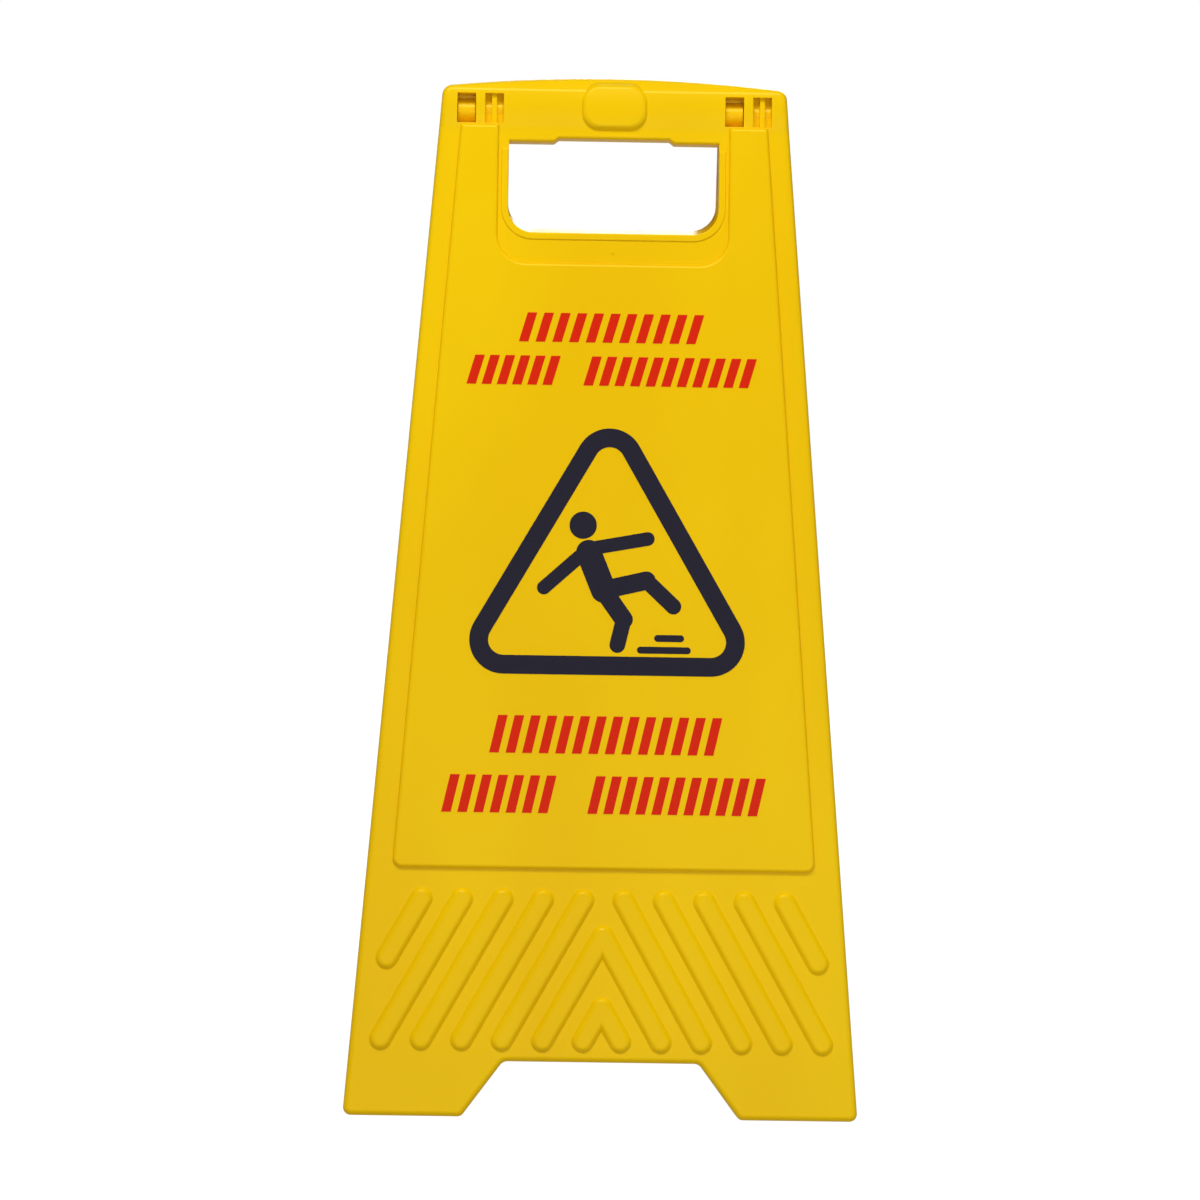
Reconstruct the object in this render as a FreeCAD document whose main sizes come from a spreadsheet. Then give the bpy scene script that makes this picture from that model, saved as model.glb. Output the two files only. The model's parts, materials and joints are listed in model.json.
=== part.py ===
"""Folding wet floor sign: two moulded panels hinged at the top, printed on both faces.

Frame: +Z up, the floor at z = 0, the front panel on the -Y side, and the origin on the
floor midway between the feet. Each panel is modelled flat in a frame of its own, with
the hinge axis on X through its origin, the outer face towards -Y and the feet at -Z.
It is then leaned by half the opening angle. The rear panel is turned half round first.
"""
import FreeCAD
import Part

import math
import os

import Sketcher

V = FreeCAD.Vector

# Driving dimensions in millimetres, angles in degrees: alias, value, meaning.
DIMENSIONS = [
    ("lean_angle", 11, "lean of each panel from upright when the sign stands open"),
    ("half_width_top", 101.4, "half the panel's width at its top corners"),
    ("half_width_foot", 150, "half the panel's width at its feet"),
    ("axis_below_corner", 13, "hinge axis below the top corners"),
    ("foot_reach", 593, "hinge axis to the front edge of the foot"),
    ("arch_rise", 6.5, "rise of the top edge at its middle"),
    ("top_corner_radius", 6, "top corners, seen from the front"),
    ("foot_corner_radius", 4.5, "outer foot corners"),
    ("panel_depth", 11, "parting plane to the margin's face"),
    ("wall", 2.2, "moulded wall"),
    ("parting_gap", 0.3, "each panel's back rim to the parting plane"),
    ("stop_gap", 0.3, "between the two stop faces when the sign stands open"),
    ("edge_radius", 3.2, "round along the front edge, all the way round"),
    ("bar_drop", 11, "hinge bar's lower edge below the axis, beside the handle"),
    ("bar_round", 70, "radius of the hinge bar's bulged face"),
    ("bar_crest", 11.3, "crest of the hinge bar above the axis, where its face turns back"),
    ("bar_crest_rise", 1.2, "crest of the hinge bar in front of the margin's face"),
    ("bar_crest_radius", 4, "round along that crest"),
    ("bar_foot_radius", 30, "hollow where the bulged face runs into the margin"),
    ("bar_top_setback", 3.8, "top edge of the hinge bar behind the margin's face"),
    ("bar_blank_rise", 3.6, "bar's blank above the margin, before its face is cut"),
    ("grip_edge_radius", 2, "round along the underside of the grip"),
    ("boss_half_width", 23, "thumb boss on the grip, at the root of its sloping sides"),
    ("boss_taper", 35, "slope of the boss's sides from the square"),
    ("boss_top_rise", 1.6, "top of the boss's face above the margin's"),
    ("boss_foot_rise", 2.2, "foot of the boss's face above the margin's"),
    ("boss_round", 80, "radius of the boss's face"),
    ("boss_top", 18, "top of the boss above the axis"),
    ("boss_foot", 15, "foot of the boss below the axis"),
    ("boss_corner_radius", 14, "corners of the boss"),
    ("boss_edge_radius", 3, "round along the boss's edge"),
    ("cheek_width", 39.4, "top corner in to the side of the handle opening"),
    ("handle_top", 19.5, "top of the handle opening below the axis"),
    ("handle_foot", 73.5, "bottom of the handle opening below the axis"),
    ("handle_radius", 15, "lower corners of the handle opening"),
    ("relief_half_width", 32.5, "shallow step in the underside of the grip"),
    ("relief_rise", 2.2, "height of that step"),
    ("relief_ramp", 3, "length of the ramp at each end of the step"),
    ("scoop_side", 6, "width of the recess beside the handle opening"),
    ("scoop_sill", 18.2, "height of the recess below the handle opening"),
    ("scoop_radius", 17, "lower corners of the recess"),
    ("collar_width", 4.2, "raised collar round the lower part of the opening"),
    ("collar_rise", 0.8, "height of that collar"),
    ("collar_edge_radius", 0.75, "round along the collar's edge"),
    ("gate_radius", 0.9, "gate mark in the recess"),
    ("gate_rise", 0.5, "height of the gate mark"),
    ("field_rise", 2.5, "raised field above the margin"),
    ("margin_top", 12.6, "panel's edge to the field at the bar's lower edge"),
    ("margin_foot", 14.8, "panel's edge to the field at the field's foot"),
    ("field_below_window", 0.9, "top of the field's columns below the windows"),
    ("field_above_foot", 145, "foot of the field above the front edge of the foot"),
    ("field_corner_radius", 5.5, "lower corners of the field"),
    ("field_edge_radius", 2.1, "round along the field's edge"),
    ("window_width", 11, "hinge window"),
    ("window_height", 17.5, "hinge window"),
    ("window_inset", 14.1, "top corner in to the middle of the outer window"),
    ("window_spacing", 16.4, "between the middles of two neighbouring windows"),
    ("knuckle_wall", 4.7, "wall of the hinge knuckle round the pin"),
    ("knuckle_gap", 0.4, "side of the knuckle to the side of the window it stands in"),
    ("knuckle_crest", 0.5, "knuckle above the floor of its own panel's window"),
    ("blade_thickness", 3, "blade down the middle of a window that has a floor"),
    ("blade_setback", 0.8, "front edge of the blade behind the margin's face"),
    ("blade_root", 1, "how far the blade runs into the wall above and below"),
    ("pin_radius", 2.5, "hinge pin"),
    ("pin_running", 0.1, "radial clearance of the pin in the rear knuckles"),
    ("pin_clearance", 0.45, "radial clearance of the pin everywhere else"),
    ("pin_seat", 3.4, "depth of the pin's blind channel past the inner window"),
    ("pin_end_clearance", 0.4, "end of the pin short of its channel and of the edge"),
    ("pin_chamfer", 0.5, "chamfer on the pin's ends"),
    ("foot_width", 68.5, "one foot at the floor"),
    ("notch_splay", 24.5, "how much each side of the foot cut-out opens downwards"),
    ("notch_height", 33, "foot cut-out"),
    ("notch_radius", 5.5, "upper corners of the foot cut-out"),
    ("notch_foot_radius", 4, "lower corners of the foot cut-out"),
    ("rib_radius", 6.8, "half the width of a chevron rib at its foot"),
    ("rib_rise", 2.2, "height of the chevron ribs"),
    ("rib_taper", 45, "slope of the ribs' sides from the square"),
    ("rib_edge_radius", 3, "round along the ribs' edges"),
    ("rib_side_margin", 17.8, "panel's edge to the lower end of the outer full rib"),
    ("rib_above_notch", 12, "lower ends of the ribs above the foot cut-out"),
    ("rib_drop", 82, "fall of a full rib between its end centres"),
    ("rib_shift", 46.2, "sideways run of a full rib"),
    ("short_rib_drop", 35, "fall of the outermost rib"),
    ("stiffener_thickness", 1.8, "stiffening ribs behind the field"),
    ("film_thickness", 0.2, "printed film"),
    ("upper_row_cap", 17.2, "height of the upper rows of strokes"),
    ("lower_row_cap", 22, "height of the lower rows of strokes"),
    ("row_1_below_scoop", 38.3, "middle of the first row below the recess"),
    ("row_2_below_row_1", 25.5, "middle of the second row below the first"),
    ("row_3_above_row_4", 35, "middle of the third row above the fourth"),
    ("row_4_above_field_foot", 43.5, "middle of the fourth row above the field's foot"),
    ("row_1_half", 54.4, "half the length of the first row"),
    ("row_2_start", 84.8, "second row: left end of its left group"),
    ("row_2_break", 29.6, "right end of that group"),
    ("row_2_resume", 16.1, "left end of the right group"),
    ("row_2_end", 85.7, "right end of the right group"),
    ("row_3_half", 68, "half the length of the third row"),
    ("row_4_start", 95.4, "fourth row: left end of its left group"),
    ("row_4_break", 28.4, "right end of that group"),
    ("row_4_resume", 10.2, "left end of the right group"),
    ("row_4_end", 93.9, "right end of the right group"),
    ("stroke_width", 5.6, "width of one printed stroke"),
    ("stroke_pitch", 9.6, "widest spacing of the printed strokes"),
    ("stroke_slant", 5, "lean of a stroke over its height"),
    ("triangle_gap_above", 5.2, "second row to the triangle's unrounded tip"),
    ("triangle_gap_below", 24.2, "triangle's base to the third row"),
    ("triangle_radius", 20, "outer corners of the triangle"),
    ("triangle_band", 11, "width of the triangle's band"),
]

SHEET = "Sizes"
BACK = 1  # how far cutting tools stand past the parting plane
PAST = 25  # how far cutting tools stand past the outer face
RIB_ROOT = 0.2  # how far the ribs start below the margin's face
FIGURE_MODULES = 10.5  # modules of the figure in the triangle's height less its rounded corners
FIGURE_RAISE = 4.73  # modules from the inside of the triangle's base up to its middle


class Size:
    """A length that knows the spreadsheet expression it comes from."""

    def __init__(self, value, text):
        self.value = value
        self.text = text

    def __add__(self, other):
        other = as_size(other)
        return Size(self.value + other.value, f"({self.text} + {other.text})")

    def __sub__(self, other):
        other = as_size(other)
        return Size(self.value - other.value, f"({self.text} - {other.text})")

    def __mul__(self, other):
        other = as_size(other)
        return Size(self.value * other.value, f"({self.text} * {other.text})")

    def __truediv__(self, other):
        other = as_size(other)
        return Size(self.value / other.value, f"({self.text} / {other.text})")

    def __neg__(self):
        return Size(-self.value, f"(0 - {self.text})")

    def __radd__(self, other):
        return as_size(other) + self

    def __rsub__(self, other):
        return as_size(other) - self

    def __rmul__(self, other):
        return as_size(other) * self


def as_size(number):
    """Wrap a plain number, so that it can stand beside sheet values."""
    return number if isinstance(number, Size) else Size(number, f"{number:.6f}")


def trig(name, angle):
    """Sine, cosine or tangent of a sheet angle in degrees."""
    return Size(getattr(math, name)(math.radians(angle.value)), f"{name}({angle.text})")


def root(number):
    """Square root of a sheet value."""
    return Size(math.sqrt(number.value), f"sqrt({number.text})")


class Sizes:
    """The driving dimensions, read by name."""

    def __init__(self, doc):
        sheet = doc.addObject("Spreadsheet::Sheet", SHEET)
        for row, (alias, value, note) in enumerate(DIMENSIONS, start=1):
            sheet.set(f"A{row}", alias)
            sheet.set(f"B{row}", str(value))
            sheet.set(f"C{row}", note)
            sheet.setAlias(f"B{row}", alias)
        doc.recompute()
        for alias, value, _ in DIMENSIONS:
            setattr(self, alias, Size(float(value), f"{SHEET}.{alias}"))
        self.place_openings()
        self.place_field()
        self.place_print()

    def place_openings(self):
        """Sides of the handle opening, hinge windows, pins and foot cut-out."""
        self.bar_top_depth = self.panel_depth - self.bar_top_setback
        self.bar_crest_depth = self.panel_depth + self.bar_crest_rise
        self.boss_top_depth = self.panel_depth + self.boss_top_rise
        self.boss_foot_depth = self.panel_depth + self.boss_foot_rise
        self.handle_half_width = self.half_width_top - self.cheek_width
        self.scoop_half_width = self.handle_half_width + self.scoop_side
        self.scoop_foot = self.handle_foot + self.scoop_sill
        self.outer_window = self.half_width_top - self.window_inset
        self.inner_window = self.outer_window - self.window_spacing
        self.knuckle_radius = self.pin_radius + self.knuckle_wall
        self.pin_inner_end = self.inner_window - self.window_width / 2 - self.pin_seat
        self.notch_half_foot = self.half_width_foot - self.foot_width
        self.notch_half_top = self.notch_half_foot - self.notch_splay

    def place_field(self):
        """Edges of the raised field, ribs below it and stiffeners behind it."""
        self.field_top = -self.window_height / 2 - self.field_below_window
        self.field_foot = self.foot_reach - self.field_above_foot
        self.field_half_top = half_width_at(self, -self.bar_drop) - self.margin_top
        self.field_half_foot = half_width_at(self, -self.field_foot) - self.margin_foot
        self.rib_foot = self.foot_reach - self.notch_height - self.rib_above_notch
        self.rib_top = self.rib_foot - self.rib_drop
        self.short_rib_foot = self.rib_top + self.short_rib_drop
        side = half_width_at(self, -self.rib_foot) - self.rib_side_margin
        self.rib_pitch = (side - self.rib_shift) / 3.5
        self.stiffener_spacing = (self.field_foot - self.scoop_foot) / 4

    def place_print(self):
        """Rows of strokes from both ends of the field, and the triangle between them."""
        self.upper_row_1 = self.scoop_foot + self.row_1_below_scoop
        self.upper_row_2 = self.upper_row_1 + self.row_2_below_row_1
        self.lower_row_2 = self.field_foot - self.row_4_above_field_foot
        self.lower_row_1 = self.lower_row_2 - self.row_3_above_row_4
        tip = self.upper_row_2 + self.upper_row_cap / 2 + self.triangle_gap_above
        self.triangle_foot = self.lower_row_1 - self.lower_row_cap / 2 - self.triangle_gap_below
        self.triangle_height = self.triangle_foot - tip
        clear_of_corners = self.triangle_height - 3 * self.triangle_radius
        self.figure_unit = clear_of_corners / FIGURE_MODULES
        self.figure_middle = (self.triangle_foot - self.triangle_band
                              - FIGURE_RAISE * self.figure_unit)


# Sketches ---------------------------------------------------------------------------

def origin_plane(body, role):
    """One of the body's own origin planes."""
    return next(item for item in body.Origin.OriginFeatures if item.Role == role)


def new_sketch(body, name, role, offset=0):
    """A sketch on an origin plane, moved along the plane's normal by offset."""
    sketch = body.newObject("Sketcher::SketchObject", name)
    sketch.AttachmentSupport = [(origin_plane(body, role), "")]
    sketch.MapMode = "FlatFace"
    offset = as_size(offset)
    sketch.AttachmentOffset = FreeCAD.Placement(V(0, 0, offset.value), FreeCAD.Rotation())
    sketch.setExpression("AttachmentOffset.Base.z", offset.text)
    return sketch


def pin_point(sketch, geometry, end, point):
    """Fix one end or centre of a sketch element by two sheet expressions."""
    for kind, value in zip(("DistanceX", "DistanceY"), point):
        value = as_size(value)
        index = sketch.addConstraint(
            Sketcher.Constraint(kind, -1, 1, geometry, end, value.value))
        sketch.setExpression(f"Constraints[{index}]", value.text)


def set_radius(sketch, geometry, radius):
    """Bind the radius of an arc or a circle."""
    radius = as_size(radius)
    index = sketch.addConstraint(Sketcher.Constraint("Radius", geometry, radius.value))
    sketch.setExpression(f"Constraints[{index}]", radius.text)


def flat(point):
    """A sketch point as a vector."""
    return V(as_size(point[0]).value, as_size(point[1]).value, 0)


def arc_through_ends(start, end, radius):
    """The shorter arc of a radius that bulges to the right of start to end."""
    chord = end - start
    middle = (start + end) / 2
    reach = math.sqrt(radius ** 2 - (chord.Length / 2) ** 2)
    right = V(chord.y, -chord.x, 0).normalize()
    return Part.Arc(start, middle + right * (radius - reach), end)


def add_outline(sketch, points, arcs=None):
    """A closed outline; arcs maps a side's index to the radius of its bulge to the right."""
    arcs = arcs or {}
    first = sketch.GeometryCount
    count = len(points)
    for side in range(count):
        start = flat(points[side])
        end = flat(points[(side + 1) % count])
        if side in arcs:
            sketch.addGeometry(arc_through_ends(start, end, arcs[side].value), False)
        else:
            sketch.addGeometry(Part.LineSegment(start, end), False)
    for side in range(count):
        here = first + side
        following = first + (side + 1) % count
        sketch.addConstraint(Sketcher.Constraint("Coincident", here, 2, following, 1))
        pin_point(sketch, here, 1, points[side])
        if side in arcs:
            set_radius(sketch, here, arcs[side])


def add_circle(sketch, centre, radius):
    """A full circle."""
    index = sketch.addGeometry(
        Part.Circle(flat(centre), V(0, 0, 1), as_size(radius).value), False)
    pin_point(sketch, index, 3, centre)
    set_radius(sketch, index, radius)


def add_capsule(sketch, start, end, radius):
    """A bar with round ends between two centres."""
    along = (flat(end) - flat(start)).normalize()
    side = V(-along.y, along.x, 0) * as_size(radius).value
    reach = along * as_size(radius).value
    begin, finish = flat(start), flat(end)
    left = sketch.addGeometry(Part.LineSegment(begin + side, finish + side), False)
    cap = sketch.addGeometry(Part.Arc(finish - side, finish + reach, finish + side), False)
    right = sketch.addGeometry(Part.LineSegment(finish - side, begin - side), False)
    tail = sketch.addGeometry(Part.Arc(begin + side, begin - reach, begin - side), False)
    for one, one_end, two, two_end in ((left, 2, cap, 2), (cap, 1, right, 1),
                                       (right, 2, tail, 2), (tail, 1, left, 1)):
        sketch.addConstraint(Sketcher.Constraint("Tangent", one, one_end, two, two_end))
    sketch.addConstraint(Sketcher.Constraint("Equal", cap, tail))
    pin_point(sketch, cap, 3, end)
    pin_point(sketch, tail, 3, start)
    set_radius(sketch, cap, radius)


def add_rounded_box(sketch, half_width, low, high, radius):
    """An upright box about the middle line, with four round corners."""
    half = half_width - radius
    foot = low + radius
    head = high - radius
    reach = radius.value
    bend = reach * math.sqrt(0.5)
    centres = [(half, foot), (half, head), (-half, head), (-half, foot)]
    quarters = []
    for index, centre in enumerate(centres):
        turn = FreeCAD.Rotation(V(0, 0, 1), 90 * index)
        start, crown, end = (turn.multVec(V(x, z, 0)) for x, z in
                             ((0, -reach), (bend, -bend), (reach, 0)))
        middle = flat(centre)
        arc = Part.Arc(middle + start, middle + crown, middle + end)
        quarters.append(sketch.addGeometry(arc, False))
        pin_point(sketch, quarters[-1], 3, centre)
        set_radius(sketch, quarters[-1], radius)
    for index, arc in enumerate(quarters):
        following = quarters[(index + 1) % 4]
        turn = FreeCAD.Rotation(V(0, 0, 1), 90 * index)
        start = flat(centres[index]) + turn.multVec(V(reach, 0, 0))
        end = flat(centres[(index + 1) % 4]) + turn.multVec(V(reach, 0, 0))
        line = sketch.addGeometry(Part.LineSegment(start, end), False)
        sketch.addConstraint(Sketcher.Constraint("Tangent", arc, 2, line, 1))
        sketch.addConstraint(Sketcher.Constraint("Tangent", line, 2, following, 1))


def mirrored(points):
    """Points of the right half, followed by their mirror images back to the start."""
    return points + [(-x, z) for x, z in reversed(points)]


# Features ---------------------------------------------------------------------------

def pad(body, sketch, length, reverse=False, symmetric=False, taper=None):
    """Add material along the sketch's normal; a taper draws the sides in."""
    feature = body.newObject("PartDesign::Pad", f"{sketch.Name}_pad")
    feature.Profile = sketch
    length = as_size(length)
    feature.Length = length.value
    feature.setExpression("Length", length.text)
    feature.Reversed = reverse
    feature.Midplane = symmetric
    if taper is not None:
        feature.TaperAngle = -taper.value
        feature.setExpression("TaperAngle", (-taper).text)
    body.Document.recompute()
    return feature


def pocket(body, sketch, length, reverse=False, symmetric=False):
    """Cut material; the volume has to fall."""
    before = body.Shape.Volume
    feature = body.newObject("PartDesign::Pocket", f"{sketch.Name}_cut")
    feature.Profile = sketch
    length = as_size(length)
    feature.Length = length.value
    feature.setExpression("Length", length.text)
    feature.Reversed = reverse
    feature.Midplane = symmetric
    body.Document.recompute()
    if body.Shape.Volume >= before:
        raise RuntimeError(f"{feature.Name} cut nothing")
    return feature


def fillet(body, name, radius, wanted):
    """Round every edge that the test picks."""
    base = body.Tip
    names = [f"Edge{index}" for index, edge in enumerate(base.Shape.Edges, start=1)
             if wanted(edge)]
    if not names:
        raise RuntimeError(f"{name} found no edge")
    feature = body.newObject("PartDesign::Fillet", name)
    feature.Base = (base, names)
    feature.Radius = radius.value
    feature.setExpression("Radius", radius.text)
    body.Document.recompute()
    return feature


def middle_of(edge):
    """The point halfway along an edge."""
    return edge.valueAt((edge.FirstParameter + edge.LastParameter) / 2)


def near(value, target, room=0.05):
    """Equal within a small room."""
    return abs(value - target) < room


def runs_through(edge):
    """True for an edge that runs from front to back, as a front view's corners do."""
    if len(edge.Vertexes) != 2:
        return False
    run = edge.Vertexes[1].Point - edge.Vertexes[0].Point
    return abs(run.y) > 2 * (abs(run.x) + abs(run.z))


def corner_edges(corners, room=1.3):
    """A test for the through edges at any of some front-view corners."""
    spots = [(as_size(x).value, as_size(z).value) for x, z in corners]

    def test(edge):
        if not runs_through(edge):
            return False
        middle = middle_of(edge)
        return any(near(abs(middle.x), x, room) and near(middle.z, z, room) for x, z in spots)

    return test


def edges_on_face_level(depth, region=None):
    """A test for edges that lie at a depth, and within a front-view region if one is given."""

    def test(edge):
        on_level = all(near(vertex.Point.y, -depth.value, 0.01) for vertex in edge.Vertexes)
        middle = middle_of(edge)
        inside = region is None or region(middle)
        return on_level and near(middle.y, -depth.value, 0.01) and inside

    return test


def round_face(body, name, radius, face_radius):
    """Round the whole edge of the one curved face that has a given radius."""
    rims = [edge for face in body.Tip.Shape.Faces
            if near(getattr(face.Surface, "Radius", 0), face_radius.value, 0.001)
            for edge in face.Edges]
    return fillet(body, name, radius, lambda edge: any(edge.isSame(rim) for rim in rims))


def outline_gap(s, point):
    """How far a front-view point lies inside the panel's outer outline."""
    radius = arch_radius(s).value
    centre = s.axis_below_corner.value + s.arch_rise.value - radius
    side_gap = half_width_at(s, as_size(point.z)).value - abs(point.x)
    arch_gap = radius - math.hypot(point.x, point.z - centre)
    return min(side_gap, arch_gap)


# The panel --------------------------------------------------------------------------

def half_width_at(s, z):
    """Half the panel's width at a height in its own frame."""
    slope = (s.half_width_foot - s.half_width_top) / (s.foot_reach + s.axis_below_corner)
    return s.half_width_top + slope * (s.axis_below_corner - z)


def field_half_at(s, z):
    """Half the raised field's width at a height in the panel's own frame."""
    slope = (s.field_half_foot - s.field_half_top) / (s.field_foot - s.bar_drop)
    return s.field_half_top + slope * (-s.bar_drop - z)


def notch_half_at(s, z):
    """Half the foot cut-out's width at a height in the panel's own frame."""
    slope = (s.notch_half_foot - s.notch_half_top) / s.notch_height
    return s.notch_half_foot - slope * (z + s.foot_reach)


def arch_radius(s):
    """Radius of the arched top edge."""
    square = s.half_width_top * s.half_width_top + s.arch_rise * s.arch_rise
    return square / (2 * s.arch_rise)


def outline_down_to(s, reach):
    """Right half of the panel's outline, from a reach below the axis up to the top corner."""
    return [(half_width_at(s, -reach), -reach), (s.half_width_top, s.axis_below_corner)]


def add_blank(body, s):
    """The panel's plain outline at the margin's depth."""
    sketch = new_sketch(body, "outline", "XZ_Plane")
    right = outline_down_to(s, s.foot_reach + s.panel_depth)
    add_outline(sketch, mirrored(right), arcs={1: arch_radius(s)})
    pad(body, sketch, s.panel_depth)


def add_hinge_bar(body, s):
    """The bar across the top: a block, then its bulged face and the strip above it."""
    sketch = new_sketch(body, "hinge_bar", "XZ_Plane")
    right = outline_down_to(s, s.bar_drop)
    add_outline(sketch, mirrored(right), arcs={1: arch_radius(s)})
    pad(body, sketch, s.panel_depth + s.bar_blank_rise)
    crown = s.axis_below_corner + s.arch_rise
    face = new_sketch(body, "bar_face", "YZ_Plane")
    points = [(-s.bar_crest_depth, s.bar_crest), (-s.panel_depth, -s.bar_drop),
              (as_size(-PAST), -s.bar_drop), (as_size(-PAST), crown + 1),
              (-s.bar_top_depth, crown + 1), (-s.bar_top_depth, crown)]
    add_outline(face, points, arcs={0: s.bar_round})
    pocket(body, face, 2 * half_width_at(s, -s.foot_reach), symmetric=True)
    fillet(body, "bar_crest", s.bar_crest_radius, edges_on_face_level(s.bar_crest_depth))

    def at_bar_foot(middle):
        return near(middle.z, -s.bar_drop.value)

    fillet(body, "bar_foot", s.bar_foot_radius, edges_on_face_level(s.panel_depth, at_bar_foot))


def round_outline(body, s):
    """The corners seen from the front, then the front edge all the way round."""
    lintel = s.notch_height - s.foot_reach
    fillet(body, "top_corners", s.top_corner_radius,
           corner_edges([(s.half_width_top, s.axis_below_corner)]))
    fillet(body, "foot_corners", s.foot_corner_radius,
           corner_edges([(s.half_width_foot, -s.foot_reach)]))
    fillet(body, "notch_corners", s.notch_radius, corner_edges([(s.notch_half_top, lintel)]))
    fillet(body, "notch_foot_corners", s.notch_foot_radius,
           corner_edges([(s.notch_half_foot, -s.foot_reach)]))
    corner_room = s.top_corner_radius.value / 2
    shallowest = s.bar_top_depth.value - 1

    def wanted(edge):
        middle = middle_of(edge)
        in_front = middle.y < -shallowest and not runs_through(edge)
        at_side = outline_gap(s, middle) < corner_room
        at_foot = middle.z < lintel.value + 1
        return in_front and (at_side or at_foot)

    fillet(body, "front_edge", s.edge_radius, wanted)


def round_field(body, s):
    """The field's corners, then its front edge."""
    fillet(body, "field_corners", s.field_corner_radius,
           corner_edges([(s.field_half_foot, -s.field_foot)]))
    fillet(body, "scoop_corners", s.scoop_radius,
           corner_edges([(s.scoop_half_width, -s.scoop_foot)]))
    fillet(body, "field_edge", s.field_edge_radius,
           edges_on_face_level(s.panel_depth + s.field_rise))


def add_boss(body, s):
    """The thumb boss, a low pad with a bulged face on the middle of the grip."""
    sketch = new_sketch(body, "boss", "XZ_Plane", offset=s.bar_top_depth)
    add_rounded_box(sketch, s.boss_half_width, -s.boss_foot, s.boss_top, s.boss_corner_radius)
    pad(body, sketch, s.boss_foot_depth + 3 - s.bar_top_depth, taper=s.boss_taper)
    face = new_sketch(body, "boss_face", "YZ_Plane")
    points = [(-s.boss_top_depth, s.boss_top), (-s.boss_foot_depth, -s.boss_foot),
              (-s.boss_foot_depth, -s.boss_foot - 1), (as_size(-PAST), -s.boss_foot - 1),
              (as_size(-PAST), s.boss_top + 1), (-s.boss_top_depth, s.boss_top + 1)]
    add_outline(face, points, arcs={0: s.boss_round})
    pocket(body, face, 2 * s.boss_half_width + 2, symmetric=True)
    round_face(body, "boss_edge", s.boss_edge_radius, s.boss_round)


def add_field(body, s):
    """The raised field, open round the handle, with a column under each hinge."""
    sketch = new_sketch(body, "field", "XZ_Plane", offset=s.wall)
    right = [(s.field_half_foot, -s.field_foot), (field_half_at(s, s.field_top), s.field_top),
             (s.scoop_half_width, s.field_top), (s.scoop_half_width, -s.scoop_foot)]
    add_outline(sketch, mirrored(right))
    pad(body, sketch, s.panel_depth + s.field_rise - s.wall)
    round_field(body, s)


def add_ribs(body, s):
    """The chevron ribs above the feet, each side the mirror of the other."""
    sketch = new_sketch(body, "chevron_ribs", "XZ_Plane", offset=s.panel_depth - RIB_ROOT)
    for index in range(4):
        top = s.rib_pitch * (index + 0.5)
        add_capsule(sketch, (top, -s.rib_top), (top + s.rib_shift, -s.rib_foot), s.rib_radius)
    slope = s.rib_shift / (s.rib_foot - s.rib_top)
    top = s.rib_pitch * 4.5
    short_shift = slope * (s.short_rib_foot - s.rib_top)
    add_capsule(sketch, (top, -s.rib_top), (top + short_shift, -s.short_rib_foot), s.rib_radius)
    for step in (0.5, 1.5):
        foot = s.rib_shift - s.rib_pitch * step
        apex = s.rib_foot - foot / slope
        add_capsule(sketch, (as_size(0), -apex), (foot, -s.rib_foot), s.rib_radius)
    ribs = pad(body, sketch, s.rib_rise + RIB_ROOT, taper=s.rib_taper)
    both = body.newObject("PartDesign::Mirrored", "both_chevrons")
    both.Originals = [ribs]
    both.MirrorPlane = (origin_plane(body, "YZ_Plane"), [""])
    body.Tip = both
    body.Document.recompute()
    fillet(body, "rib_edge", s.rib_edge_radius,
           edges_on_face_level(s.panel_depth + s.rib_rise))


def cut_handle(body, s):
    """The handle opening, with a shallow step in the underside of the grip."""
    sketch = new_sketch(body, "handle", "XZ_Plane", offset=-BACK)
    step = s.relief_half_width + s.relief_ramp
    raised = -s.handle_top + s.relief_rise
    right = [(s.handle_half_width, -s.handle_foot), (s.handle_half_width, -s.handle_top),
             (step, -s.handle_top), (s.relief_half_width, raised)]
    add_outline(sketch, mirrored(right))
    pocket(body, sketch, as_size(PAST + BACK), reverse=True)
    fillet(body, "handle_corners", s.handle_radius,
           corner_edges([(s.handle_half_width, -s.handle_foot)]))
    outer = (s.handle_half_width + s.collar_width, -s.handle_foot - s.collar_width)
    fillet(body, "collar_corners", s.handle_radius + s.collar_width, corner_edges([outer]))
    fillet(body, "collar_edge", s.collar_edge_radius,
           edges_on_face_level(s.panel_depth + s.collar_rise))

    def underside(middle):
        inside = abs(middle.x) < s.handle_half_width.value - 0.5
        return inside and -s.handle_top.value - 0.5 < middle.z < raised.value + 0.5

    fillet(body, "grip_underside", s.grip_edge_radius,
           edges_on_face_level(s.panel_depth, underside))


def cut_feet(body, s):
    """The cut-out between the feet, and soles that lie flat when the sign is open."""
    sketch = new_sketch(body, "foot_cut_out", "XZ_Plane", offset=-BACK)
    below = s.foot_reach + 2 * s.panel_depth
    right = [(notch_half_at(s, -below), -below), (s.notch_half_top, s.notch_height - s.foot_reach)]
    add_outline(sketch, mirrored(right))
    pocket(body, sketch, as_size(PAST + BACK), reverse=True)
    rise = trig("tan", s.lean_angle)
    soles = new_sketch(body, "soles", "YZ_Plane")
    front = as_size(-PAST)
    back = as_size(BACK)
    points = [(front, -s.foot_reach + (front + s.panel_depth) * rise),
              (back, -s.foot_reach + (back + s.panel_depth) * rise),
              (back, -below - 1), (front, -below - 1)]
    add_outline(soles, points)
    pocket(body, soles, 3 * s.half_width_foot, symmetric=True)


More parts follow.
